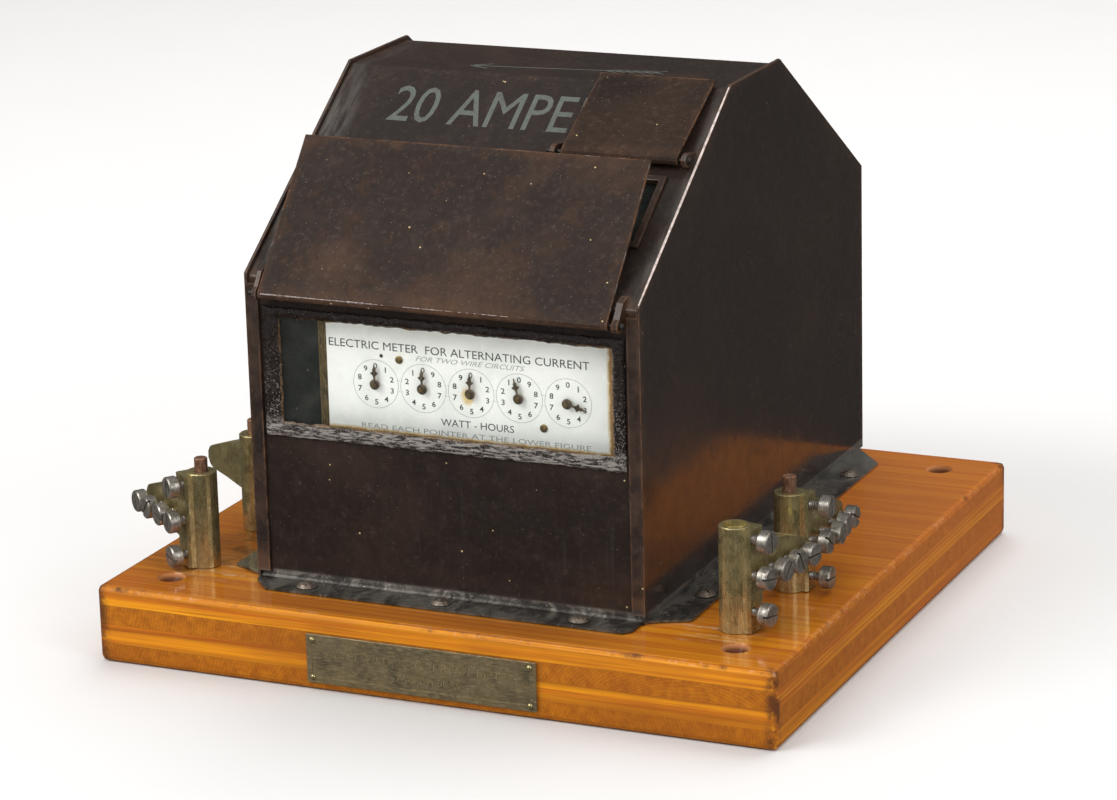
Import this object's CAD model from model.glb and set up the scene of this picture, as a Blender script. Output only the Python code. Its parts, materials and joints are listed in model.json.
"""Looks of a dial electric meter: materials, small pieces, printing, light and camera.

Lengths inside this file are millimetres unless a name says otherwise.
"""
import json
import math

import bmesh
import bpy
from mathutils import Matrix, Vector, noise

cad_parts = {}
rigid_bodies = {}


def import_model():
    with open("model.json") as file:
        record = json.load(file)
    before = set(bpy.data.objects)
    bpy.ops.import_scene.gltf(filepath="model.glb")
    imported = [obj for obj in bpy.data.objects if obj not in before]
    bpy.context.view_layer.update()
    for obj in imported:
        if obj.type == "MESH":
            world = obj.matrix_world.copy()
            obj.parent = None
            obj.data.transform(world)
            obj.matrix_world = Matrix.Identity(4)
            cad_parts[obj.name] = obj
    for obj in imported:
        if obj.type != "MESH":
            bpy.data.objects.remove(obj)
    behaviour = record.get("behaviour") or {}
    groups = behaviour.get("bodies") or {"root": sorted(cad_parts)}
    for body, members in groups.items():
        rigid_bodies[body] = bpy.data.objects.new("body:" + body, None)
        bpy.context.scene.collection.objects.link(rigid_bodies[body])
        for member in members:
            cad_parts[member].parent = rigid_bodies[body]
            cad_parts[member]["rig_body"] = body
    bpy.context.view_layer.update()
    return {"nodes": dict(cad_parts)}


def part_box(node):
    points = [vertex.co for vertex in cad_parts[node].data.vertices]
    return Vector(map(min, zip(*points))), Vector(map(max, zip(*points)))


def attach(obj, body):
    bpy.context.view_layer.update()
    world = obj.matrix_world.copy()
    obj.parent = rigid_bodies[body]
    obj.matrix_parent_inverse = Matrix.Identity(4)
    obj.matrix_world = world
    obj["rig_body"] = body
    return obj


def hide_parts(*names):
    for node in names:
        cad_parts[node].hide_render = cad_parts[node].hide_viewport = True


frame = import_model()
NODES = frame["nodes"]
CASE = "case"
MM = 0.001
UP = Vector((0.0, 0.0, 1.0))
PLY_T = 8.75
RING_PITCH = 1.5
FIXING_X = 134.0
FIXING_Y = 131.5
RIM_X = 88.0
RUST_IN = 3.6
RUST_FOOT = 105.4


def mm_box(node):
    """Lowest and highest corner of a CAD node, in mm."""
    low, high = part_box(node)
    return low / MM, high / MM


BOARD_HIGH = mm_box("base_board")[1]
BOARD_TOP = BOARD_HIGH.z


# ---- shader words
def tone(red, green, blue):
    """A screen colour, 0 to 255, as the linear colour a shader wants."""
    def linear(value):
        value = value / 255.0
        if value <= 0.04045:
            return value / 12.92
        return ((value + 0.055) / 1.055) ** 2.4
    return linear(red), linear(green), linear(blue), 1.0


class Graph:
    """A node tree that a material or a world has, and how its nodes are made."""

    def __init__(self, owner):
        owner.use_nodes = True
        self.tree = owner.node_tree

    def add(self, kind, inputs=None, **options):
        made = self.tree.nodes.new("ShaderNode" + kind)
        for key, value in options.items():
            setattr(made, key, value)
        for key, value in (inputs or {}).items():
            self.plug(made.inputs[key], value)
        return made

    def plug(self, socket, value):
        if isinstance(value, bpy.types.NodeSocket):
            self.tree.links.new(value, socket)
        else:
            socket.default_value = value


class Paint(Graph):
    """A Principled material and the few words its nodes are built from."""

    def __init__(self, name, rough=0.5, metal=0.0):
        self.material = bpy.data.materials.new(name)
        super().__init__(self.material)
        self.shader = self.tree.nodes["Principled BSDF"]
        self.set("Roughness", rough)
        self.set("Metallic", metal)
        seen = self.add("TexCoord").outputs["Object"]
        grow = self.add("VectorMath", {0: seen, "Scale": 1.0 / MM}, operation="SCALE")
        self.place = grow.outputs[0]
        self.x, self.y, self.z = self.add("SeparateXYZ", {0: self.place}).outputs
        self.geometry = self.add("NewGeometry")
        self.normal = None
        self.skin = None

    def set(self, key, value):
        self.plug(self.shader.inputs[key], value)

    def math(self, operation, first, second=0.0):
        return self.add("Math", {0: first, 1: second}, operation=operation).outputs[0]

    def times(self, first, second):
        return self.math("MULTIPLY", first, second)

    def plus(self, first, second):
        return self.math("ADD", first, second)

    def minus(self, first, second):
        return self.math("SUBTRACT", first, second)

    def most(self, first, second):
        return self.math("MAXIMUM", first, second)

    def least(self, first, second):
        return self.math("MINIMUM", first, second)

    def size(self, value):
        return self.math("ABSOLUTE", value)

    def reach(self, across, along):
        """Length of the straight line with these two legs."""
        return self.math("SQRT", self.plus(self.times(across, across), self.times(along, along)))

    def ramp(self, value, low, high, out_low=0.0, out_high=1.0):
        """value's way from low to high, smoothed, as out_low to out_high."""
        keys = {0: value, 1: low, 2: high, 3: out_low, 4: out_high}
        return self.add("MapRange", keys, interpolation_type="SMOOTHSTEP").outputs[0]

    def mix(self, share, first, second):
        """Colour first turning to second as share goes 0 to 1; a tuple is a screen colour."""
        colours = [tone(*c) if isinstance(c, tuple) else c for c in (first, second)]
        keys = {0: share, 6: colours[0], 7: colours[1]}
        return self.add("Mix", keys, data_type="RGBA").outputs[2]

    def cover(self, colour):
        """Makes this the whole skin."""
        self.skin = colour
        self.set("Base Color", colour)

    def lay(self, share, colour, strength=None):
        """Lays a colour over a share of the skin."""
        share = self.times(share, strength) if strength else share
        self.cover(self.mix(share, self.skin, colour))

    def either(self, share, first, second):
        """Number first turning to second as share goes from 0 to 1."""
        keys = {0: share, 2: first, 3: second}
        return self.add("Mix", keys, data_type="FLOAT").outputs[0]

    def join(self, x, y, z):
        return self.add("CombineXYZ", {0: x, 1: y, 2: z}).outputs[0]

    def stretched(self, x, y, z, place=None):
        keys = {0: place or self.place, 1: (x, y, z)}
        return self.add("VectorMath", keys, operation="MULTIPLY").outputs[0]

    def cloud(self, scale, detail=4.0, rough=0.55, place=None, seed=0.0, warp=0.0):
        """Noise from 0 to 1; scale is in turns per mm."""
        keys = {"Vector": place or self.place, "W": seed, "Scale": scale,
                "Detail": detail, "Roughness": rough, "Distortion": warp}
        return self.add("TexNoise", keys, noise_dimensions="4D").outputs["Fac"]

    def specks(self, pitch, size, share, seed=0.0):
        """Small round spots on a share of a lattice with this pitch."""
        keys = {0: self.place, 1: (seed * 17.3, seed * 5.1, seed * 9.7)}
        moved = self.add("VectorMath", keys, operation="ADD")
        keys = {"Vector": moved.outputs[0], "Scale": 1.0 / pitch, "Randomness": 1.0}
        made = self.add("TexVoronoi", keys, voronoi_dimensions="3D")
        lucky = self.add("SeparateColor", {0: made.outputs["Color"]})
        few = self.math("GREATER_THAN", lucky.outputs[0], 1.0 - share)
        near = self.ramp(made.outputs["Distance"], size / pitch, 0.5 * size / pitch)
        return self.times(few, near)

    def edges(self, radius, low=0.02, high=0.22):
        """1 on edges sharper than radius, 0 on flats."""
        round_off = self.add("Bevel", {"Radius": radius * MM}, samples=4)
        keys = {0: round_off.outputs[0], 1: self.geometry.outputs["Normal"]}
        agree = self.add("VectorMath", keys, operation="DOT_PRODUCT")
        return self.ramp(self.minus(1.0, agree.outputs["Value"]), low, high)

    def bump(self, height, depth, strength=1.0):
        """Adds relief of this depth, in mm, over what is there already."""
        keys = {"Height": height, "Distance": depth * MM, "Strength": strength}
        made = self.add("Bump", keys)
        if self.normal is not None:
            self.plug(made.inputs["Normal"], self.normal)
        self.normal = made.outputs[0]
        self.set("Normal", self.normal)


# ---- materials
def crossed_plies(p, facing):
    """Bare wood of four crossed plies, each with long grain and end grain; gives its streaks."""
    ply = p.math("FLOOR", p.math("DIVIDE", p.minus(p.z, 0.05), PLY_T))
    along_x = p.math("MODULO", ply, 2.0)
    along = p.either(along_x, p.y, p.x)
    side = p.either(along_x, p.x, p.y)
    end_grain = p.either(along_x, p.size(facing.outputs[1]), p.size(facing.outputs[0]))
    deep = p.plus(p.z, p.times(ply, 57.0))
    fibre = p.join(p.times(along, 0.012), side, deep)
    wander = p.cloud(0.03, 3.0, 0.5, fibre, 1.0)
    radius = p.reach(p.minus(side, p.times(ply, 61.0)), p.plus(p.z, 30.0))
    turns = p.plus(p.math("DIVIDE", radius, RING_PITCH), p.times(wander, 7.0))
    rings = p.ramp(p.math("SINE", p.times(turns, 2.0 * math.pi)), -0.7, 1.0)
    streak = p.cloud(0.3, 6.0, 0.7, fibre, 2.0)
    pores = p.cloud(1.3, 3.0, 0.6, fibre, 3.0)
    long_tone = p.mix(p.ramp(streak, 0.36, 0.62), (234, 154, 22), (190, 102, 22))
    end_tone = p.mix(p.ramp(streak, 0.3, 0.7), (198, 120, 20), (160, 90, 18))
    is_end = p.ramp(end_grain, 0.55, 0.85)
    p.cover(p.mix(is_end, long_tone, end_tone))
    p.lay(p.times(rings, p.either(is_end, 0.38, 0.24)), (120, 58, 12))
    fleck = p.times(p.ramp(pores, 0.55, 0.7), p.either(is_end, 0.45, 0.2))
    p.lay(fleck, (100, 48, 14))
    return streak


def aged_varnish(p, facing, patch):
    """Wood redder to the back and right, darker in patches, on top and in the glue lines."""
    back = p.times(p.ramp(p.y, -130.0, 110.0, 0.0, 0.5), p.ramp(patch, 0.25, 0.7, 0.45, 1.0))
    p.lay(back, (226, 130, 64))
    p.lay(p.ramp(facing.outputs[0], 0.3, 0.9, 0.0, 0.25), (128, 64, 26))
    p.lay(p.ramp(patch, 0.5, 0.66, 0.0, 0.45), (142, 76, 20))
    seam = p.ramp(p.math("FRACT", p.math("DIVIDE", p.z, PLY_T)), 0.03, 0.0)
    seam = p.times(seam, p.ramp(p.z, BOARD_TOP, BOARD_TOP - 2.0))
    p.lay(seam, (86, 48, 24), 0.6)
    p.lay(top_edge_mask(p), (222, 172, 134), 0.7)
    p.lay(p.ramp(facing.outputs[2], 0.5, 0.95, 0.0, 0.4), (146, 76, 14))
    p.lay(corner_mask(p), (70, 40, 28), 0.8)
    p.lay(soot_mask(p), (84, 42, 18), 0.6)
    p.lay(scuff_mask(p), (196, 160, 120), 0.6)


def varnished_wood():
    """The laminated board, with bare wood in its countersinks."""
    p = Paint("varnished_wood", 0.42)
    facing = p.add("SeparateXYZ", {0: p.geometry.outputs["True Normal"]})
    patch = p.cloud(0.014, 4.0, 0.55, p.stretched(0.45, 1.0, 1.0), 4.0)
    streak = crossed_plies(p, facing)
    aged_varnish(p, facing, patch)
    raw = fixing_mask(p)
    sunk = p.ramp(p.z, BOARD_TOP - 0.3, BOARD_TOP - 2.6)
    p.lay(raw, p.mix(sunk, (190, 128, 80), (98, 54, 32)))
    p.set("Roughness", p.either(raw, p.ramp(streak, 0.2, 0.8, 0.36, 0.5), 0.75))
    p.set("Specular IOR Level", 0.12)
    p.set("Coat Weight", p.either(p.most(raw, top_edge_mask(p)), 0.8, 0.1))
    p.set("Coat Roughness", p.ramp(patch, 0.3, 0.7, 0.05, 0.12))
    p.bump(streak, 0.05, 0.5)
    p.bump(p.cloud(0.03, 2.0, 0.5, None, 7.0), 0.3, 0.3)
    return p.material


def edge_gaps(p):
    """How far a spot is from the board's left or right, front or back, and top faces."""
    side = p.minus(BOARD_HIGH.x, p.size(p.x))
    front = p.minus(BOARD_HIGH.y, p.size(p.y))
    top = p.minus(BOARD_TOP, p.z)
    return side, front, top


def corner_mask(p):
    """Dark knocks down the board's upright corners and thinly along its top edges."""
    side, front, top = edge_gaps(p)
    upright = p.ramp(p.most(side, front), 7.0, 2.0)
    worn = p.ramp(p.cloud(0.11, 5.0, 0.65, None, 9.0), 0.4, 0.58)
    along = p.ramp(p.most(top, p.least(side, front)), 2.6, 1.2)
    thin = p.ramp(p.cloud(0.06, 5.0, 0.65, None, 10.0), 0.55, 0.68)
    return p.most(p.times(upright, worn), p.times(along, thin))


def top_edge_mask(p):
    """Pale chips where the varnish has gone from the board's top edges."""
    side, front, top = edge_gaps(p)
    near = p.ramp(p.most(top, p.least(side, front)), 2.4, 0.9)
    long_patch = p.ramp(p.cloud(0.05, 4.0, 0.6, None, 5.0), 0.46, 0.6)
    chips = p.ramp(p.cloud(0.5, 5.0, 0.7, None, 6.0), 0.5, 0.62)
    return p.times(near, p.times(long_patch, chips))


def near_terminals(p, across, along):
    """1 on the board's top near the terminals; each way has a middle, a far and a near."""
    beside = p.ramp(p.size(p.minus(p.size(p.x), across[0])), across[1], across[2])
    front = p.ramp(p.size(p.minus(p.y, along[0])), along[1], along[2])
    top = p.ramp(p.z, BOARD_TOP - 0.6, BOARD_TOP - 0.1)
    return p.times(p.times(beside, front), top)


def soot_mask(p):
    """Dark smudges in the varnish beside the terminals."""
    smudge = p.ramp(p.cloud(0.11, 6.0, 0.68, None, 13.0), 0.46, 0.57)
    return p.times(near_terminals(p, (124.0, 17.0, 5.0), (-84.0, 36.0, 12.0)), smudge)


def scuff_mask(p):
    """Pale scratches where the terminals' feet have dragged over the varnish."""
    hair = p.cloud(0.35, 5.0, 0.65, p.stretched(0.12, 1.0, 1.0), 11.0, 0.6)
    spread = p.cloud(0.05, 4.0, 0.6, None, 12.0)
    marks = p.times(p.ramp(hair, 0.53, 0.58), p.ramp(spread, 0.43, 0.52))
    return p.times(near_terminals(p, (118.0, 26.0, 8.0), (-116.0, 20.0, 6.0)), marks)


def fixing_mask(p):
    """1 inside the countersinks of the four fixing holes, where the wood is bare."""
    dx = p.minus(p.size(p.x), FIXING_X)
    dy = p.minus(p.size(p.y), FIXING_Y)
    rough_edge = p.plus(p.reach(dx, dy), p.cloud(0.7, 2.0, 0.5, None, 8.0))
    return p.ramp(rough_edge, 7.0, 6.3)


def lacquer(p, mottle, fine, base, warm, grey, blotch, streaks):
    """Black-brown lacquer with warm blotches, grey runs and a mottled grain."""
    wide = p.cloud(0.016, 5.0, 0.6, None, 1.0, 0.4)
    runs = p.cloud(0.5, 4.0, 0.6, p.stretched(1.0, 1.0, 0.045), 4.0)
    grain = p.cloud(0.42, 7.0, 0.75, None, 15.0, 0.3)
    p.cover(p.mix(p.ramp(wide, 0.42, 0.68, 0.0, blotch), base, warm))
    p.lay(p.ramp(mottle, 0.5, 0.75, 0.0, 0.45 * blotch + 0.1), warm)
    p.lay(p.ramp(runs, 0.54, 0.75, 0.0, streaks), grey)
    p.lay(p.ramp(fine, 0.58, 0.8, 0.0, 0.35), (24, 19, 18))
    p.lay(p.ramp(grain, 0.5, 0.72, 0.0, 0.6 * blotch), (92, 76, 66))
    p.lay(p.ramp(grain, 0.48, 0.3, 0.0, 0.5 * blotch), (26, 19, 17))


def wear_lacquer(p, mottle, dusty):
    """Rubs the lacquer brown and bare on its edges and dusts it; gives where it is bare."""
    wide_rub = p.times(p.edges(7.0, 0.01, 0.3), p.ramp(mottle, 0.35, 0.65))
    p.lay(wide_rub, (104, 74, 52), 0.45)
    worn = p.times(p.edges(1.6), p.ramp(p.cloud(0.11, 5.0, 0.6, None, 5.0), 0.38, 0.6))
    p.lay(worn, (118, 80, 52), 0.85)
    bare = p.times(p.edges(0.7), p.ramp(p.cloud(0.2, 5.0, 0.6, None, 6.0), 0.52, 0.66))
    p.lay(bare, (158, 152, 146), 0.8)
    p.lay(p.specks(7.0, 0.55, dusty, 1.0), (208, 182, 132), 0.85)
    p.lay(p.specks(2.2, 0.24, dusty, 2.0), (148, 132, 114), 0.6)
    return bare


def bald_margin(p):
    """Lacquer dulled in streaks along the wrapper's left and right rims."""
    aside = p.times(p.ramp(p.size(p.x), 80.0, 87.5), p.ramp(p.z, 170.0, 185.0))
    aside = p.times(aside, p.ramp(p.y, 0.0, -50.0, 0.25, 1.0))
    bald = p.ramp(p.cloud(0.3, 6.0, 0.62, p.stretched(1.0, 0.15, 0.15), 14.0), 0.38, 0.64)
    p.lay(p.times(aside, bald), (112, 111, 107), 0.45)


def crumpled_feet(p, metal, shine):
    """Grey dented sheet at the foot of the case's walls, where the lacquer has gone."""
    foot = p.ramp(p.z, 40.5, 38.0)
    crush = p.cloud(0.075, 6.0, 0.62, p.stretched(1.0, 0.6, 1.0), 9.0, 1.2)
    ridge = p.cloud(0.3, 5.0, 0.6, None, 10.0, 1.5)
    lead = p.mix(p.ramp(crush, 0.4, 0.62), (54, 50, 46), (110, 105, 97))
    lead = p.mix(p.ramp(ridge, 0.58, 0.72, 0.0, 0.8), lead, (180, 175, 166))
    lead = p.mix(p.ramp(p.y, 70.0, 140.0, 0.0, 0.5), lead, (150, 148, 140))
    p.bump(p.times(foot, crush), 2.2, 0.6)
    p.bump(p.times(foot, ridge), 0.5, 0.6)
    p.lay(foot, lead)
    return p.either(foot, metal, 0.55), p.either(foot, shine, 0.42)


def japan(name, base, warm, grey, rough, blotch, streaks, dusty=0.22, coat=0.0, feet=False,
          margin=False):
    """Old japan on sheet metal: blotched, streaked, rubbed brown on its edges."""
    p = Paint(name)
    mottle = p.cloud(0.09, 6.0, 0.65, None, 2.0, 0.6)
    fine = p.cloud(0.9, 4.0, 0.6, None, 3.0)
    lacquer(p, mottle, fine, base, warm, grey, blotch, streaks)
    bare = wear_lacquer(p, mottle, dusty)
    if margin:
        bald_margin(p)
    shine = p.ramp(mottle, 0.3, 0.75, rough - 0.07, rough + 0.16)
    metal = p.times(bare, 0.9)
    if feet:
        metal, shine = crumpled_feet(p, metal, shine)
    p.set("Roughness", shine)
    p.set("Metallic", metal)
    p.set("Specular IOR Level", 0.22 if feet else 0.12)
    p.set("Coat Weight", coat)
    p.set("Coat IOR", 1.9)
    p.set("Coat Roughness", p.ramp(mottle, 0.35, 0.7, 0.09, 0.22))
    p.bump(p.cloud(0.012, 2.0, 0.5, None, 7.0), 1.6, 0.35)
    p.bump(mottle, 0.25, 0.35)
    p.bump(fine, 0.05, 0.4)
    return p.material


def old_metal(name, light, mid, dark, stain, rough, scale, bright=None, stained=0.5,
              metal=0.85, drawn=(1.0, 1.0, 0.2)):
    """Handled bare metal: mottled, stained, brighter on its rims."""
    p = Paint(name, rough, metal)
    mottle = p.cloud(scale, 6.0, 0.62, None, 1.0, 0.5)
    drag = p.cloud(1.4, 4.0, 0.6, p.stretched(*drawn), 2.0)
    spots = p.cloud(scale * 2.3, 5.0, 0.6, None, 3.0, 0.8)
    p.cover(p.mix(p.ramp(mottle, 0.36, 0.6), dark, mid))
    p.lay(p.ramp(drag, 0.42, 0.7), light)
    p.lay(p.ramp(spots, 0.54, 0.66, 0.0, stained), stain)
    rub = p.times(p.edges(0.8), p.ramp(spots, 0.3, 0.6, 1.0, 0.35))
    p.lay(rub, bright or light, 0.85)
    uneven = p.ramp(spots, 0.35, 0.7, rough - 0.1, rough + 0.2)
    p.set("Roughness", p.either(rub, uneven, max(rough - 0.12, 0.15)))
    p.bump(mottle, 0.08, 0.25)
    p.bump(drag, 0.015, 0.35)
    return p.material


def putty_material(inner_low, inner_high):
    """Glossy black-brown putty, greyer and rougher along the bottom, ochre at the pane."""
    p = Paint("black_putty", 0.3)
    lumps = p.cloud(0.45, 6.0, 0.68, None, 1.0, 0.8)
    grains = p.cloud(1.7, 4.0, 0.65, None, 2.0)
    drawn = p.cloud(1.1, 5.0, 0.65, p.stretched(0.16, 1.0, 1.0), 3.0)
    bottom = p.ramp(p.z, inner_low.z + 3.0, inner_low.z - 1.0)
    p.cover(p.mix(p.ramp(lumps, 0.35, 0.65), (15, 11, 10), (34, 23, 20)))
    smear = p.mix(p.ramp(drawn, 0.44, 0.58), (38, 32, 29), (162, 156, 150))
    p.lay(bottom, smear, 0.85)
    lower = p.ramp(p.z, inner_high.z, inner_low.z, 0.1, 0.8)
    p.lay(p.times(p.ramp(grains, 0.55, 0.64), lower), (168, 158, 150))
    middle = (inner_low + inner_high) / 2
    half = (inner_high - inner_low) / 2
    out_x = p.minus(p.size(p.minus(p.x, middle.x)), half.x)
    out_z = p.minus(p.size(p.minus(p.z, middle.z)), half.z)
    gap = p.plus(p.most(out_x, out_z), p.times(lumps, -2.4))
    ochre = p.mix(p.ramp(grains, 0.4, 0.6), (84, 60, 36), (150, 116, 70))
    broken = p.ramp(p.cloud(0.16, 4.0, 0.6, None, 4.0), 0.4, 0.58, 0.1, 0.7)
    p.lay(p.times(p.ramp(gap, 0.3, -0.7), broken), ochre)
    p.set("Roughness", p.either(bottom, p.ramp(lumps, 0.3, 0.7, 0.14, 0.3), 0.45))
    p.set("Specular IOR Level", 0.34)
    p.bump(lumps, 0.9, 0.7)
    p.bump(grains, 0.6, 1.0)
    p.bump(p.times(drawn, bottom), 0.5, 0.8)
    return p.material


def pane(name, haze):
    """Old window glass: clear, slightly green, with a soft reflection and dust."""
    p = Paint(name, 0.08)
    dust = p.cloud(0.12, 5.0, 0.6, None, 1.0)
    p.set("Base Color", p.mix(p.ramp(dust, 0.5, 0.75), (214, 224, 216), (190, 186, 168)))
    p.set("Alpha", p.ramp(dust, 0.45, 0.8, haze, haze + 0.03))
    p.set("Roughness", p.ramp(dust, 0.4, 0.8, 0.04, 0.22))
    p.bump(p.cloud(0.02, 2.0, 0.5, None, 2.0), 0.4, 0.3)
    return p.material


def enamel(right_edge, stain_x, stain_z):
    """White enamel with rusty rims, a stain under the middle hand and fly specks."""
    p = Paint("white_enamel", 0.22)
    cloud = p.cloud(0.05, 4.0, 0.55, None, 1.0)
    fray = p.cloud(0.25, 5.0, 0.6, None, 2.0)
    p.cover(p.mix(p.ramp(cloud, 0.35, 0.7), (246, 249, 243), (234, 238, 231)))
    in_x = p.minus(right_edge - RUST_IN, p.x)
    low_edge = p.minus(p.z, RUST_FOOT)
    rim = p.plus(p.least(in_x, low_edge), p.times(fray, -2.6))
    p.lay(p.ramp(rim, 0.6, -0.9, 0.0, 0.9), (206, 176, 108))
    p.lay(p.ramp(rim, -0.5, -1.3, 0.0, 0.85), (132, 88, 40))
    dx = p.minus(p.x, stain_x)
    dz = p.times(p.minus(p.z, stain_z), 0.78)
    far = p.plus(p.reach(dx, dz), p.times(fray, 2.0))
    p.lay(p.ramp(far, 5.0, 3.0, 0.0, 0.8), (224, 188, 104))
    rust = p.specks(13.0, 0.42, 0.4, 3.0)
    p.lay(rust, (170, 124, 66), 0.8)
    p.set("Roughness", p.ramp(fray, 0.3, 0.8, 0.16, 0.34))
    p.bump(cloud, 0.2, 0.25)
    return p.material


def ink(name, dark, pale, worn=0.5):
    """Old printing or brushed paint, paler in patches."""
    p = Paint(name, 0.5)
    patch = p.cloud(0.35, 5.0, 0.65, None, 1.0)
    p.set("Base Color", p.mix(p.ramp(patch, 0.42, 0.72, 0.0, worn), dark, pale))
    p.set("Roughness", p.ramp(patch, 0.3, 0.7, 0.42, 0.65))
    p.bump(patch, 0.04, 0.4)
    return p.material


def winding(name, pitch, light, dark):
    """Insulated wire laid side by side round a coil."""
    p = Paint(name, 0.6)
    turn = p.math("SINE", p.times(p.z, 2.0 * math.pi / pitch))
    fuzz = p.cloud(1.2, 4.0, 0.6, None, 1.0)
    p.cover(p.mix(p.ramp(turn, -1.0, 0.6), dark, light))
    p.lay(p.ramp(fuzz, 0.45, 0.75, 0.0, 0.5), dark)
    p.set("Roughness", p.ramp(fuzz, 0.3, 0.7, 0.5, 0.75))
    p.bump(turn, 0.5, 0.8)
    p.bump(fuzz, 0.1, 0.5)
    return p.material


def rolled_disc(axis_x, axis_y):
    """Spun aluminium with fine circular turning marks about the rotor's axis."""
    p = Paint("turned_disc", 0.32, 1.0)
    far = p.reach(p.minus(p.x, axis_x), p.minus(p.y, axis_y))
    rings = p.cloud(2.0, 3.0, 0.6, p.join(far, 0.0, 0.0), 1.0)
    haze = p.cloud(0.05, 4.0, 0.6, None, 2.0)
    p.cover(p.mix(p.ramp(rings, 0.35, 0.65), (186, 184, 178), (150, 146, 138)))
    p.lay(p.ramp(haze, 0.5, 0.75, 0.0, 0.6), (120, 108, 92))
    p.set("Roughness", p.ramp(haze, 0.3, 0.7, 0.26, 0.48))
    p.bump(rings, 0.05, 0.5)
    return p.material


# ---- mesh words
def settle(bm, name, material, body=CASE, crease=35.0):
    """Makes a mesh piece whose vertices are in mm, and lets it ride on a body."""
    bmesh.ops.recalc_face_normals(bm, faces=bm.faces)
    for vert in bm.verts:
        vert.co = vert.co * MM
    mesh = bpy.data.meshes.new(name)
    bm.to_mesh(mesh)
    bm.free()
    for face in mesh.polygons:
        face.use_smooth = True
    mesh.set_sharp_from_angle(angle=math.radians(crease))
    mesh.materials.append(material)
    piece = bpy.data.objects.new(name, mesh)
    bpy.context.scene.collection.objects.link(piece)
    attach(piece, body)
    return piece


def axis_frame(origin, direction, turn=0.0):
    """Matrix whose Z is direction, turned about it."""
    turned = UP.rotation_difference(direction).to_matrix().to_4x4()
    return Matrix.Translation(origin) @ turned @ Matrix.Rotation(turn, 4, "Z")


def spin(bm, profile, place, steps=24):
    """Adds the closed solid that (radius, height) points sweep about Z."""
    rings = []
    for radius, height in profile:
        if radius < 1e-6:
            rings.append([bm.verts.new(place @ Vector((0.0, 0.0, height)))])
            continue
        ring = []
        for k in range(steps):
            angle = 2.0 * math.pi * k / steps
            spot = Vector((radius * math.cos(angle), radius * math.sin(angle), height))
            ring.append(bm.verts.new(place @ spot))
        rings.append(ring)
    for a, b in zip(rings, rings[1:]):
        for k in range(steps):
            m = (k + 1) % steps
            corners = [a[k % len(a)], a[m % len(a)], b[m % len(b)], b[k % len(b)]]
            unique = list(dict.fromkeys(corners))
            if len(unique) > 2:
                bm.faces.new(unique)


def join_rows(bm, rows):
    """Adds the faces between neighbouring closed rows with the same number of corners."""
    for a, b in zip(rows, rows[1:]):
        for k in range(len(a)):
            m = (k + 1) % len(a)
            bm.faces.new((a[k], a[m], b[m], b[k]))


def join_solid(bm, rows):
    """Adds the closed solid of these rows, with a flat face at each end."""
    join_rows(bm, rows)
    bm.faces.new(rows[0])
    bm.faces.new(rows[-1])


def prism(bm, outline, low, high, place, inset=None):
    """Adds a closed prism; inset is the outline of its top, if that is smaller."""
    bottom = [bm.verts.new(place @ Vector((x, y, low))) for x, y in outline]
    top = [bm.verts.new(place @ Vector((x, y, high))) for x, y in (inset or outline)]
    join_solid(bm, [bottom, top])


def half_disc(radius, gap, sign, steps=14):
    """Outline of a disc's half on one side of a slot."""
    start = math.asin(gap / radius)
    points = []
    for k in range(steps + 1):
        angle = start + (math.pi - 2.0 * start) * k / steps
        points.append((radius * math.cos(angle), sign * radius * math.sin(angle)))
    return points


def add_screw(bm, base, direction, turn, length, head=(5.0, 5.0), shank=1.9):
    """Adds a slotted cheese-head screw with a threaded shank; base is under its head."""
    radius, tall = head
    place = axis_frame(base, direction, turn)
    slot_floor = tall - 1.7
    profile = [(0.0, slot_floor), (radius, slot_floor), (radius, 0.5),
               (radius - 0.4, 0.0), (shank + 0.2, 0.0)]
    pitch = 0.95
    turns = int(length / pitch)
    for k in range(turns):
        profile.append((shank + 0.1, -pitch * (k + 0.25)))
        profile.append((shank - 0.3, -pitch * (k + 0.75)))
    profile.append((shank - 0.4, -length))
    profile.append((0.0, -length))
    spin(bm, profile, place, 24)
    for sign in (-1.0, 1.0):
        whole = half_disc(radius, 0.55, sign)
        narrow = half_disc(radius - 0.5, 0.55, sign)
        prism(bm, whole, slot_floor - 0.1, tall - 0.5, place)
        prism(bm, whole, tall - 0.52, tall, place, narrow)


def add_dome(bm, base, direction, radius, tall, steps=20):
    """Adds a nail or rivet head."""
    profile = [(0.0, tall)]
    for k in range(1, 6):
        angle = math.pi / 2 * k / 5
        profile.append((radius * math.sin(angle), tall * math.cos(angle)))
    profile.append((radius * 0.96, -0.3))
    profile.append((0.0, -0.3))
    spin(bm, profile, axis_frame(base, direction), steps)


LETTER_MESHES = {}


def letters(words, lean, bold):
    """Mesh of words in the built-in font, one unit per size, with one unit of depth."""
    key = (words, lean, bold)
    if key not in LETTER_MESHES:
        curve = bpy.data.curves.new("words", "FONT")
        curve.body = words
        curve.size = 1.0
        curve.shear = lean
        curve.offset = bold
        curve.extrude = 0.5
        curve.resolution_u = 3
        holder = bpy.data.objects.new("words", curve)
        bpy.context.scene.collection.objects.link(holder)
        bpy.context.view_layer.update()
        graph = bpy.context.evaluated_depsgraph_get()
        LETTER_MESHES[key] = bpy.data.meshes.new_from_object(holder.evaluated_get(graph))
        bpy.data.objects.remove(holder)
        bpy.data.curves.remove(curve)
    return LETTER_MESHES[key]


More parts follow.
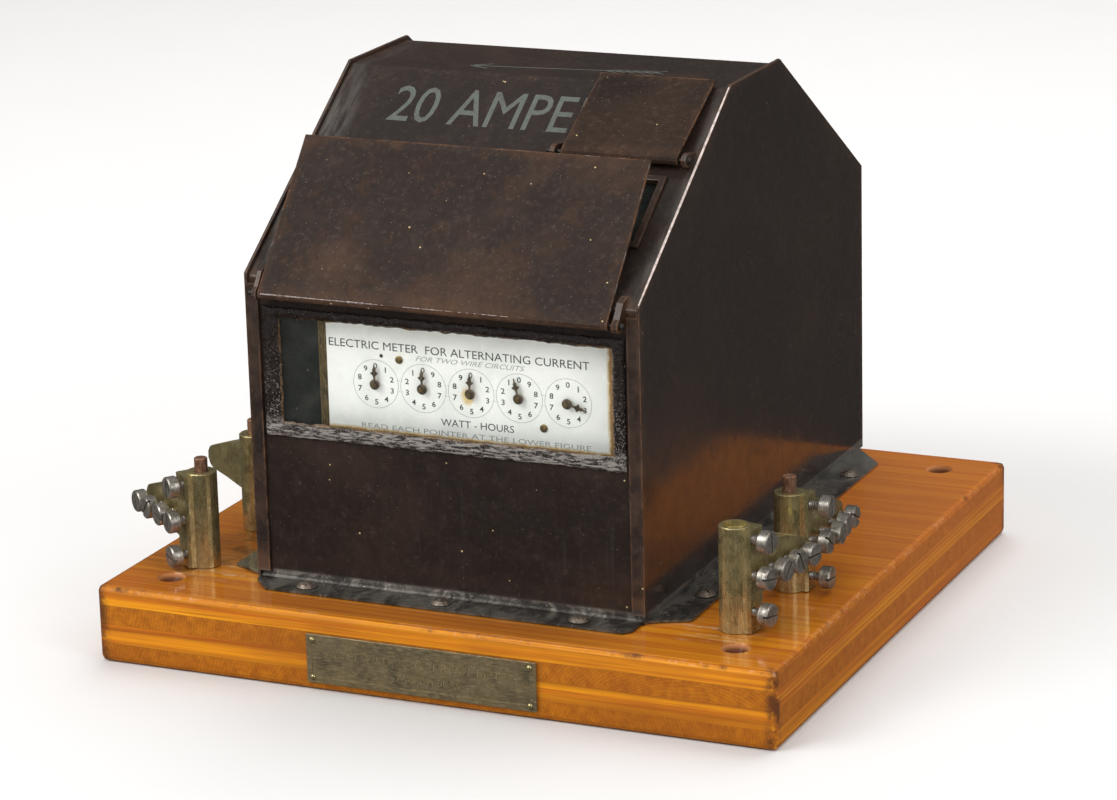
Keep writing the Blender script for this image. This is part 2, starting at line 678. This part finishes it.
def write(bm, words, left, base, width, cap, place, lean=0.0, bold=0.0, thick=0.06):
    """Adds words from left, or centred on it if no width is given, standing on base."""
    mesh = letters(words, lean, bold)
    xs = [vert.co.x for vert in mesh.vertices]
    ys = [vert.co.y for vert in mesh.vertices]
    wide = max(xs) - min(xs)
    tall = cap / (max(ys) - min(ys))
    stretch = width / wide if width else tall * 1.12
    if not width:
        left -= wide * stretch / 2
    grow = Matrix.Diagonal((stretch, tall, thick, 1.0))
    shift = Matrix.Translation((left - min(xs) * stretch, base - min(ys) * tall, 0.0))
    known = len(bm.verts)
    bm.from_mesh(mesh)
    bm.verts.ensure_lookup_table()
    move = place @ shift @ grow
    for vert in bm.verts[known:]:
        vert.co = move @ vert.co


def add_ring(bm, x, z, radius, width, place, thick=0.06, steps=72):
    """Adds a thin flat ring in the XY plane of place."""
    inner, outer = radius - width / 2, radius + width / 2
    profile = [(inner, -thick / 2), (outer, -thick / 2), (outer, thick / 2),
               (inner, thick / 2), (inner, -thick / 2)]
    spin(bm, profile, place @ Matrix.Translation((x, z, 0.0)), steps)


def front_plane(y):
    """Plane seen from the front: X right, Y up, Z towards the viewer."""
    return Matrix(((1, 0, 0, 0), (0, 0, -1, y), (0, 1, 0, 0), (0, 0, 0, 1)))


# ---- terminals
def main_facing(node):
    """Direction in the XY plane that most of a node's faces look along, and a spot on it."""
    mesh = NODES[node].data
    best = (0.0, None, None)
    for step in range(0, 360, 2):
        angle = math.radians(step)
        way = Vector((math.cos(angle), math.sin(angle), 0.0))
        chosen = [f for f in mesh.polygons if f.normal.dot(way) > 0.9995]
        area = sum(f.area for f in chosen)
        if area > best[0]:
            normal = sum((f.normal * f.area for f in chosen), Vector())
            best = (area, normal.normalized(), chosen)
    return best[1]


def screw_axis(node, post):
    """Outward direction and centre of a clamp screw's head end."""
    way = main_facing(node)
    low, high = mm_box(node)
    middle = (low + high) / 2
    way = Vector((way.x, way.y, 0.0)).normalized()
    if (middle - post).dot(way) < 0.0:
        way = -way
    reach = max((v.co / MM - post).dot(way) for v in NODES[node].data.vertices)
    return way, reach, middle.z


def post_centre(name):
    """Axis of a terminal's drilled post: the middle of the ring its top makes."""
    mesh = NODES[name].data
    top = max(v.co.z for v in mesh.vertices)
    ring = [v.co / MM for v in mesh.vertices if v.co.z > top - 0.0001]
    middle = [(min(v[i] for v in ring) + max(v[i] for v in ring)) / 2 for i in (0, 1)]
    return Vector((*middle, 0.0))


TERMINALS = {
    # which hand the arm is on, then how far out the middle and the three arm heads stand
    "terminal_right_front": (1, (15.9, 15.7, 14.8, 14.4)),
    "terminal_right_back": (1, (16.7, 17.2, 15.5, 15.0)),
    "terminal_left_front": (-1, (15.2, 14.6, 14.9, 14.4)),
    "terminal_left_back": (1, (15.6, 16.2, 15.0, 15.4)),
}
ARM_STEPS = (13.5, 25.5, 37.0)
HEAD_T = 5.0


def terminal_screws(name, steel):
    """All screws of one terminal; the two clamp screws stand for the CAD's plain ones."""
    hand, reaches = TERMINALS[name]
    post = post_centre(name)
    tops = name + "_screw_top"
    lows = name + "_screw_low"
    way, top_reach, top_z = screw_axis(tops, post)
    _, low_reach, low_z = screw_axis(lows, post)
    along = UP.cross(way) * hand
    for node, reach, z, turn in ((tops, top_reach, top_z, 0.5), (lows, low_reach, low_z, 1.9)):
        bm = bmesh.new()
        base = post + way * (reach - HEAD_T) + UP * z
        add_screw(bm, base, way, turn + post.x * 0.07, reach - HEAD_T - 4.0)
        piece = settle(bm, node + "_threaded", steel)
        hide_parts(node)
    middle_z = (top_z + low_z) / 2
    spots = [(0.0, reaches[0])] + list(zip(ARM_STEPS, reaches[1:]))
    for k, (step, reach) in enumerate(spots):
        bm = bmesh.new()
        base = post + along * step + way * (reach - HEAD_T / 2) + UP * middle_z
        add_screw(bm, base, way, 0.4 + 1.1 * k + post.y * 0.05, reach - HEAD_T / 2 - 5.0)
        settle(bm, "%s_arm_screw_%d" % (name, k), steel)


# ---- putty
def rectangle_walk(low, high, steps):
    """Points evenly spaced along each side of an upright rectangle, sides in equal counts."""
    xs = (low.x, high.x, high.x, low.x, low.x)
    zs = (low.z, low.z, high.z, high.z, low.z)
    points = []
    for side, count in enumerate(steps):
        for k in range(count):
            share = k / count
            points.append([v[side] + (v[side + 1] - v[side]) * share for v in (xs, zs)])
    return points


def putty_spot(x, z, share, foot, crest):
    """Where a spot of the band stands once pressed, and how high; share is its way inwards."""
    lump = noise.noise(Vector((x * 0.16, z * 0.16, 3.0)))
    grain = noise.noise(Vector((x * 0.9, z * 0.9, 8.0)))
    ripple = noise.noise(Vector((x * 0.12, z * 1.5, 5.0)))
    swell = math.sin(math.pi * min(1.0, share * 1.05)) ** 0.45
    height = 0.25 + swell * crest * (0.55 + 0.3 * lump)
    height += swell * (0.28 * grain + (0.35 * ripple if z < foot else 0.1 * ripple))
    height = min(max(height, 0.15), crest - 0.05)
    edge = (1.0 - swell) * 0.7
    x += edge * noise.noise(Vector((z * 0.3, x * 0.3, 1.0)))
    z += edge * noise.noise(Vector((x * 0.3, z * 0.3, 2.0)))
    return x, z, height


def lumpy_putty(material, inner_low, inner_high):
    """A hand-pressed band round the dial window, inside the CAD band's box."""
    low, high = mm_box("dial_window_putty")
    steps = (230, 84, 230, 84)
    inset = Vector((0.9, 0, 0.9))
    lap = Vector((0.4, 0, 0.4))
    outer = rectangle_walk(low + inset, high - inset, steps)
    inner = rectangle_walk(inner_low - lap, inner_high + lap, steps)
    rows = 16
    bm = bmesh.new()
    grid = []
    for row in range(rows + 1):
        share = row / rows
        line = []
        for (ox, oz), (ix, iz) in zip(outer, inner):
            flat_x = ox + (ix - ox) * share
            flat_z = oz + (iz - oz) * share
            x, z, height = putty_spot(flat_x, flat_z, share, inner_low.z, high.y - low.y)
            line.append(bm.verts.new((x, high.y - height, z)))
        grid.append(line)
    back = []
    for line in (grid[0], grid[-1]):
        back.append([bm.verts.new((v.co.x, high.y, v.co.z)) for v in line])
    join_rows(bm, [back[0]] + grid + [back[1], back[0]])
    piece = settle(bm, "dial_window_putty_lumpy", material, crease=80.0)
    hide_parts("dial_window_putty")


# ---- dial
DIAL_NUMBERS = 10
CIRCLE_R = 10.8
NUMBER_R = 8.1
NUMBER_CAP = 2.5
TURNS_RIGHT = (True, False, True, False, True)


def dial_centres():
    """Middle of each hand's hub, from the arbors behind the dial."""
    boxes = [mm_box("register_arbor_%d" % number) for number in range(1, 6)]
    return [((low.x + high.x) / 2, (low.z + high.z) / 2) for low, high in boxes]


def dial_circle(circles, numbers, x, z, right, plane):
    """One circle and its ten numbers, which run to the right or to the left."""
    add_ring(circles, x, z, CIRCLE_R, 0.2, plane)
    for number in range(DIAL_NUMBERS):
        turn = 2.0 * math.pi * number / DIAL_NUMBERS
        turn = turn if right else -turn
        cx = x + NUMBER_R * math.sin(turn)
        cz = z + NUMBER_R * math.cos(turn)
        write(numbers, str(number), cx, cz - NUMBER_CAP / 2, 0.0, NUMBER_CAP, plane, bold=0.016)


def dial_dots(circles, x, z, plane):
    """Six small dots in two rows between neighbouring circles."""
    disc = [(0.0, 0.03), (0.18, 0.03), (0.18, -0.03), (0.0, -0.03)]
    for rise in (2.4, -2.4):
        for k in range(3):
            spin(circles, disc, plane @ Matrix.Translation((x - 1.0 + k, z + rise, 0.0)), 8)


def dial_printing(black, grey):
    """Circles, numbers and generic wording on the enamel plate."""
    low = mm_box("dial_plate")[0]
    plane = front_plane(low.y)
    centres = dial_centres()
    circles = bmesh.new()
    numbers = bmesh.new()
    for (x, z), right in zip(centres, TURNS_RIGHT):
        dial_circle(circles, numbers, x, z, right, plane)
    for (x, z), (next_x, _) in zip(centres, centres[1:]):
        dial_dots(circles, (x + next_x) / 2, z, plane)
    settle(circles, "dial_circles", grey)
    write(numbers, "ELECTRIC METER  FOR ALTERNATING CURRENT", low.x + 1.2, 142.2, 123.0, 3.6,
          plane)
    write(numbers, "WATT - HOURS", -9.8, 111.0, 34.5, 3.2, plane)
    settle(numbers, "dial_lettering", black)
    faint = bmesh.new()
    write(faint, "FOR TWO WIRE CIRCUITS", -21.0, 138.9, 51.5, 2.2, plane, 0.35)
    write(faint, "READ EACH POINTER AT THE LOWER FIGURE", -48.0, 106.5, 108.5, 2.3, plane)
    settle(faint, "dial_small_print", grey)


HAND_HALF = ((0.5, 1.6), (0.42, 3.5), (0.85, 4.2), (1.75, 4.9), (1.75, 5.3), (0.85, 5.8),
             (0.7, 6.3), (0.95, 6.8), (0.4, 7.4), (0.2, 8.9), (0.05, 9.2))


def spade_hand(index):
    """A pressed spade hand on a domed hub, pointing where the CAD hand points."""
    node = "pointer_%d" % index
    low, high = mm_box(node)
    x, z = dial_centres()[index - 1]
    spots = [vert.co / MM for vert in NODES[node].data.vertices]
    tip = max(spots, key=lambda spot: math.hypot(spot.x - x, spot.z - z))
    turn = math.atan2(tip.z - z, tip.x - x) - math.pi / 2
    plane = front_plane((low.y + high.y) / 2)
    place = plane @ Matrix.Translation((x, z, 0.0)) @ Matrix.Rotation(turn, 4, "Z")
    half_t = (high.y - low.y) / 2
    outline = [(-a, b) for a, b in HAND_HALF] + [(a, b) for a, b in reversed(HAND_HALF)]
    bm = bmesh.new()
    prism(bm, outline, -0.2, 0.2, place)
    hub = [(0.0, half_t), (0.75, half_t), (0.85, half_t - 0.15), (0.9, 0.42), (1.7, 0.38),
           (2.3, 0.18), (2.35, -0.1), (2.3, -0.3), (1.1, -0.35), (1.0, -half_t), (0.0, -half_t)]
    spin(bm, hub, place, 24)
    piece = settle(bm, node + "_spade", NODES[node].data.materials[0],
                   NODES[node]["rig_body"], 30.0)
    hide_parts(node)


def dial_screws(brass, dark):
    """Two small brass screws hold the enamel; one hole beside them is empty."""
    low = mm_box("dial_plate")[0]
    for k, (x, z) in enumerate(((-28.8, 138.6), (38.7, 114.6))):
        bm = bmesh.new()
        base = Vector((x, low.y, z))
        profile = [(0.0, 0.75), (1.2, 0.72), (1.75, 0.4), (1.8, -0.05), (0.0, -0.05)]
        spin(bm, profile, axis_frame(base, Vector((0, -1, 0))), 20)
        settle(bm, "dial_plate_screw_%d" % (k + 1), brass)
    bm = bmesh.new()
    place = axis_frame(Vector((-37.4, low.y, 139.6)), Vector((0, -1, 0)))
    spin(bm, [(0.0, 0.06), (0.8, 0.06), (0.85, 0.0), (0.85, -0.05), (0.0, -0.05)], place, 14)
    settle(bm, "dial_plate_hole_plug", dark)


# ---- paint on the case
def slope_place():
    """Frame on the front slope: X right, Y up the slope, Z off it; origin at its foot."""
    mesh = NODES["case_wrapper"].data
    faces = [f for f in mesh.polygons if f.normal.y < -0.3 and f.normal.z > 0.5]
    normal = max(faces, key=lambda f: f.area).normal.copy()
    normal.x = 0.0
    normal.normalize()
    rise = normal.cross(Vector((1.0, 0.0, 0.0)))
    flat = [f for f in faces if f.normal.dot(normal) > 0.999]
    spots = [mesh.vertices[i].co / MM for f in flat for i in f.vertices]
    level = max(spot.dot(normal) for spot in spots)
    walls = [f for f in mesh.polygons if f.normal.y < -0.99 and f.center.y < 0.0]
    front = max(walls, key=lambda f: f.area).center.y / MM
    origin = Vector((0.0, front, (level - normal.y * front) / normal.z))
    rows = zip((1, 0, 0), rise, normal, origin)
    return Matrix([list(row) for row in rows] + [[0, 0, 0, 1]])


RATING_FOOT = 95.5
RATING_CAP = 21.5


def slope_letters(paint):
    """The rating painted on the slope, partly under the small flap."""
    bm = bmesh.new()
    place = slope_place()
    for words, left, width in (("20", -66.5, 22.0), ("AMPERE", -37.0, 84.0)):
        write(bm, words, left, RATING_FOOT, width, RATING_CAP, place, thick=0.1)
    settle(bm, "slope_rating_letters", paint)


def slope_rim_wear(tin):
    """Bare bright metal along the right panel's rim, where hands rub it."""
    wrap_high = mm_box("case_wrapper")[1]
    place = slope_place()
    rise = mm_box("case_right_side")[1].z - wrap_high.z
    length = (wrap_high.z - place.translation.z) / place.to_3x3().col[1].z
    bm = bmesh.new()
    steps = 60
    left = wrap_high.x + 0.35
    right = RIM_X - 0.1
    mid = (left + right) / 2
    rows = []
    for k in range(steps + 1):
        along = 1.0 + (length - 2.0) * k / steps
        fray = 0.12 * noise.noise(Vector((along * 0.4, 0.0, 4.0)))
        taper = min(1.0, 6.0 * k / steps, 6.0 * (steps - k) / steps) * 0.5
        half = (right - left) / 2 * (0.5 + taper) + fray
        row = [(mid - half, along, rise - 0.1), (mid - half, along, rise + 0.06),
               (mid + half, along, rise + 0.06), (mid + half, along, rise - 0.1)]
        rows.append([bm.verts.new(place @ Vector(spot)) for spot in row])
    join_solid(bm, rows)
    settle(bm, "right_slope_rim_wear", tin)


def flap_hem_wear(tin):
    """Bright chips and rubbed metal along the large flap's lower hem."""
    flap = NODES["disc_window_flap"]
    low, high = mm_box("disc_window_flap")
    hem = min((vert.co / MM for vert in flap.data.vertices), key=lambda spot: spot.y)
    bm = bmesh.new()
    steps = 260
    sides = 8
    rows = []
    for k in range(steps + 1):
        x = low.x + 1.5 + (high.x - low.x - 3.0) * k / steps
        rough = noise.noise(Vector((x * 0.55, 1.0, 2.0)))
        long_wave = noise.noise(Vector((x * 0.06, 5.0, 2.0)))
        thick = 0.42 + 0.16 * rough + 0.22 * long_wave - 0.3 * k / steps
        thick = min(max(thick, 0.06), 0.7)
        row = []
        for m in range(sides):
            angle = 2.0 * math.pi * m / sides
            row.append(bm.verts.new((x, hem.y + 0.25 + thick * math.cos(angle),
                                     hem.z + thick * math.sin(angle))))
        rows.append(row)
    join_solid(bm, rows)
    settle(bm, "disc_flap_hem_wear", tin, flap["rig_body"], 80.0)


def stroke(bm, start, end, width, place, thick=0.1):
    """Adds one thin brush stroke, narrower at its end."""
    way = (end - start).normalized()
    across = Vector((-way.y, way.x)) * width / 2
    outline = [start + across, start - across, end - across * 0.6, end + across * 0.6]
    prism(bm, outline, -thick / 2, thick / 2, place)


def top_arrow(paint):
    """The painted arrow on the flat top that shows which way the disc turns."""
    place = Matrix.Translation((0.0, 0.0, mm_box("case_wrapper")[1].z))
    bm = bmesh.new()
    tail = Vector((45.0, 10.0))
    head = Vector((-42.0, 0.0))
    way = (tail - head).normalized()
    stroke(bm, head, tail, 1.0, place)
    side = Vector((-way.y, way.x))
    for sign in (-1.0, 1.0):
        barb = head + way * 9.0 + side * 5.0 * sign
        stroke(bm, head, barb, 1.2, place, 0.11 + 0.01 * sign)
        for k in range(6):
            root = head + (tail - head) * (0.72 + 0.05 * k)
            tip = root + way * 5.5 + side * 3.2 * sign
            stroke(bm, root, tip, 0.8, place, 0.12 + 0.01 * sign)
    settle(bm, "top_direction_arrow", paint)


# ---- nameplate
def plate_corners(low, high, in_x, in_z):
    """Four spots (x, z) this far in from a box's corners, in order round it."""
    left, right = low.x + in_x, high.x - in_x
    foot, head = low.z + in_z, high.z - in_z
    return [(left, foot), (right, foot), (right, head), (left, head)]


def nameplate_details(brass, relief):
    """Four dome nails, worn raised lettering and a raised border."""
    low, high = mm_box("nameplate")
    toward = Vector((0.0, -1.0, 0.0))
    for k, (x, z) in enumerate(plate_corners(low, high, 2.9, 2.5)):
        bm = bmesh.new()
        add_dome(bm, Vector((x, low.y, z)), toward, 1.3, 0.9)
        settle(bm, "nameplate_nail_%d" % (k + 1), brass)
    bm = bmesh.new()
    plane = front_plane(low.y + 0.24)
    write(bm, "ALTERNATING CURRENT METER", low.x + 9.0, low.z + 12.3, 90.0, 3.4, plane,
          thick=0.18)
    write(bm, "WATT HOURS", low.x + 42.0, low.z + 5.4, 31.0, 3.2, plane, thick=0.18)
    border = [Vector(spot) for spot in plate_corners(low, high, 1.2, 1.0)]
    for start, end in zip(border, border[1:] + border[:1]):
        stroke(bm, start, end, 0.4, plane, 0.2)
    settle(bm, "nameplate_lettering", relief)


# ---- stage
def make_floor():
    """Pale paper. Shiny parts see it dimmer, so that dark japan stays dark."""
    p = Paint("pale_paper", 0.9)
    fibre = p.cloud(0.01, 3.0, 0.5, None, 1.0)
    p.set("Base Color", p.mix(fibre, (222, 221, 220), (219, 218, 217)))
    glossy = p.add("LightPath").outputs["Is Glossy Ray"]
    dim = p.add("Emission", {"Color": tone(66, 63, 60)})
    both = p.add("MixShader", {0: glossy, 1: p.shader.outputs[0], 2: dim.outputs[0]})
    p.plug(p.tree.nodes["Material Output"].inputs["Surface"], both.outputs[0])
    half = 8.0
    mesh = bpy.data.meshes.new("floor")
    level = -0.0003
    mesh.from_pydata([(-half, -half, level), (half, -half, level), (half, half, level),
                      (-half, half, level)], [], [(0, 1, 2, 3)])
    mesh.materials.append(p.material)
    floor = bpy.data.objects.new("floor", mesh)
    bpy.context.scene.collection.objects.link(floor)


def add_light(name, place, aim, size, watts, mirrored=True):
    lamp = bpy.data.lights.new(name, "AREA")
    lamp.shape = "RECTANGLE"
    lamp.size = size[0]
    lamp.size_y = size[1]
    lamp.energy = watts
    holder = bpy.data.objects.new(name, lamp)
    holder.visible_glossy = mirrored
    holder.location = place
    way = Vector(aim) - Vector(place)
    holder.rotation_mode = "QUATERNION"
    holder.rotation_quaternion = way.to_track_quat("-Z", "Y")
    bpy.context.scene.collection.objects.link(holder)


def make_world():
    """Even studio light that shiny parts see as a dim room."""
    world = bpy.data.worlds.new("studio")
    bpy.context.scene.world = world
    graph = Graph(world)
    ground = graph.tree.nodes["Background"]
    graph.plug(ground.inputs["Color"], (1.0, 0.99, 0.975, 1.0))
    way = graph.add("TexCoord").outputs["Generated"]
    way = graph.add("SeparateXYZ", {0: way}).outputs
    # brighter in front and above: where it starts and ends, then how bright it is there
    front = graph.add("MapRange", {0: way[1], 1: 0.35, 2: -0.7, 3: 0.07, 4: 0.5})
    above = graph.add("MapRange", {0: way[2], 1: 0.35, 2: 0.95, 3: 0.0, 4: 0.3})
    room = graph.add("Math", {0: front.outputs[0], 1: above.outputs[0]})
    glossy = graph.add("LightPath").outputs["Is Glossy Ray"]
    pick = graph.add("Mix", {0: glossy, 2: 0.56, 3: room.outputs[0]}, data_type="FLOAT")
    graph.plug(ground.inputs["Strength"], pick.outputs[0])


def make_camera():
    """The camera stands right of the front and looks slightly down."""
    lens = bpy.data.cameras.new("camera")
    lens.sensor_width = 36.0
    lens.lens = 129.1
    lens.clip_start = 0.05
    lens.clip_end = 50.0
    spot = Vector((0.715, -1.591, 0.607))
    aim = Vector((-0.0034, 0.0, 0.0926))
    camera = bpy.data.objects.new("camera", lens)
    turn = (aim - spot).to_track_quat("-Z", "Y").to_matrix().to_4x4()
    roll = Matrix.Rotation(math.radians(-1.48), 4, "Z")
    camera.matrix_world = Matrix.Translation(spot) @ turn @ roll
    bpy.context.scene.collection.objects.link(camera)
    bpy.context.scene.camera = camera


# ---- dressing
def dress(material, *names):
    """Gives CAD nodes a material; a name that ends in * takes every node starting so."""
    for name in names:
        found = [n for n in NODES if n == name or (name[-1] == "*" and n.startswith(name[:-1]))]
        for node in found:
            piece = NODES[node]
            piece.data.materials.clear()
            piece.data.materials.append(material)


METAL_LOOKS = {
    # light, mid, dark, stain, then how rough, how fine, the rims, how stained, how metallic
    "aged_brass": ((206, 194, 146), (188, 174, 124), (158, 143, 100), (122, 96, 66), 0.3, 0.06,
                   (236, 216, 156), 0.3),
    "plate_brass": ((168, 150, 114), (144, 128, 96), (112, 102, 80), (92, 82, 66), 0.5, 0.09,
                    (206, 190, 150), 0.5, 0.7, (0.2, 1.0, 1.0)),
    "plate_relief": ((212, 196, 150), (168, 150, 110), (104, 92, 68), (82, 70, 52), 0.42, 0.3,
                     (228, 212, 166), 0.6, 0.75),
    "movement_brass": ((176, 150, 92), (142, 118, 68), (98, 80, 48), (78, 58, 38), 0.42, 0.1),
    "bare_steel": ((182, 177, 168), (152, 146, 137), (108, 101, 92), (104, 88, 74), 0.38, 0.2,
                   (214, 210, 202), 0.5, 0.78),
    "foot_screw_iron": ((190, 176, 160), (142, 128, 114), (92, 80, 70), (120, 82, 58), 0.36,
                        0.3, (214, 208, 200), 0.55),
    "old_copper": ((176, 132, 104), (138, 100, 78), (96, 70, 56), (72, 52, 42), 0.42, 0.2,
                   (200, 152, 118), 0.4, 0.5),
    "dark_iron": ((96, 92, 88), (66, 63, 60), (42, 40, 38), (84, 58, 42), 0.5, 0.12),
    "dark_bronze": ((150, 130, 104), (98, 82, 66), (52, 44, 40), (46, 38, 34), 0.4, 0.5,
                    (196, 174, 140), 0.4, 0.8),
    "worn_tin": ((226, 212, 206), (208, 192, 184), (150, 132, 120), (120, 92, 74), 0.45, 0.3,
                 None, 0.5, 0.1),
    "hem_metal": ((178, 164, 160), (118, 104, 99), (62, 50, 45), (72, 54, 45), 0.42, 0.35,
                  None, 0.8, 0.45),
}


def dress_case():
    """Wood, japan and glass."""
    black = japan("japanned_sheet", (36, 28, 25), (62, 44, 34), (62, 59, 56), 0.4, 0.45, 0.3,
                  coat=0.12, feet=True, margin=True)
    sides = japan("japanned_sides", (36, 28, 26), (56, 40, 32), (62, 59, 57), 0.4, 0.4, 0.4,
                  coat=0.9, feet=True)
    flap = japan("flap_japan", (41, 32, 28), (78, 56, 42), (62, 56, 52), 0.5, 0.8, 0.2, 0.6)
    door = japan("door_japan", (36, 28, 24), (56, 41, 32), (56, 50, 46), 0.5, 0.7, 0.2, 0.5)
    dress(varnished_wood(), "base_board")
    dress(black, "case_wrapper", "disc_window_frame")
    dress(sides, "case_left_side", "case_right_side")
    dress(flap, "disc_window_flap")
    dress(door, "access_flap")
    dress(pane("window_glass", 0.015), "dial_window_glass", "disc_window_glass")


def dress_metal(metals):
    """Fittings, terminals and the movement's metal."""
    dress(metals["plate_brass"], "nameplate")
    dress(metals["aged_brass"], *TERMINALS)
    dress(metals["bare_steel"], *[name + "_screw_*" for name in TERMINALS])
    dress(metals["old_copper"], *[name + "_rod" for name in TERMINALS])
    dress(metals["foot_screw_iron"], "case_screw_*")
    dress(metals["dark_iron"], "disc_flap_hinge_pin", "access_flap_hinge_pin", "brake_magnet",
          "current_core", "voltage_core", "mechanism_frame")
    dress(metals["movement_brass"], "register_*", "worm_wheel_arbor", "top_bearing",
          "bottom_bearing")
    dress(metals["bare_steel"], "rotor_spindle")
    dress(metals["dark_bronze"], "pointer_*")


def dress_works():
    """Coils, disc and dial plate."""
    dress(winding("coil_winding", 1.2, (96, 60, 40), (46, 28, 22)), "voltage_coil")
    dress(winding("dark_wire", 3.2, (70, 62, 56), (34, 30, 28)), "current_coil")
    low, high = mm_box("rotor_spindle")
    dress(rolled_disc((low.x + high.x) / 2, (low.y + high.y) / 2), "rotor_disc")
    hub_x, hub_z = dial_centres()[2]
    dress(enamel(mm_box("dial_plate")[1].x, hub_x - 1.6, hub_z - 1.6), "dial_plate")


def make_pieces(metals):
    """Everything that is added to the CAD nodes."""
    for name in TERMINALS:
        terminal_screws(name, metals["bare_steel"])
    glass_low, glass_high = mm_box("dial_window_glass")
    lap = Vector((1.0, 0.0, 1.0))
    inner_low, inner_high = glass_low + lap, glass_high - lap
    lumpy_putty(putty_material(inner_low, inner_high), inner_low, inner_high)
    dial_printing(ink("dial_black", (44, 46, 50), (120, 122, 124)),
                  ink("dial_grey", (150, 152, 150), (206, 208, 204)))
    dial_screws(metals["movement_brass"], metals["dark_iron"])
    paint = ink("sign_paint", (88, 93, 88), (62, 60, 56), 0.6)
    slope_letters(paint)
    top_arrow(paint)
    slope_rim_wear(metals["worn_tin"])
    flap_hem_wear(metals["hem_metal"])
    for index in range(1, 6):
        spade_hand(index)
    nameplate_details(metals["aged_brass"], metals["plate_relief"])


METALS = {name: old_metal(name, *look) for name, look in METAL_LOOKS.items()}
dress_case()
dress_metal(METALS)
dress_works()
make_pieces(METALS)
make_floor()
make_world()
add_light("key", (-1.5, -1.7, 1.9), (0.0, 0.0, 0.1), (1.6, 1.6), 50.0)
add_light("top", (0.1, 1.0, 2.0), (0.0, 0.0, 0.1), (2.2, 1.8), 36.0, False)
add_light("right", (2.0, -0.9, 1.2), (0.0, 0.0, 0.1), (1.0, 1.6), 15.0)
make_camera()
bpy.context.scene.view_settings.view_transform = "Standard"
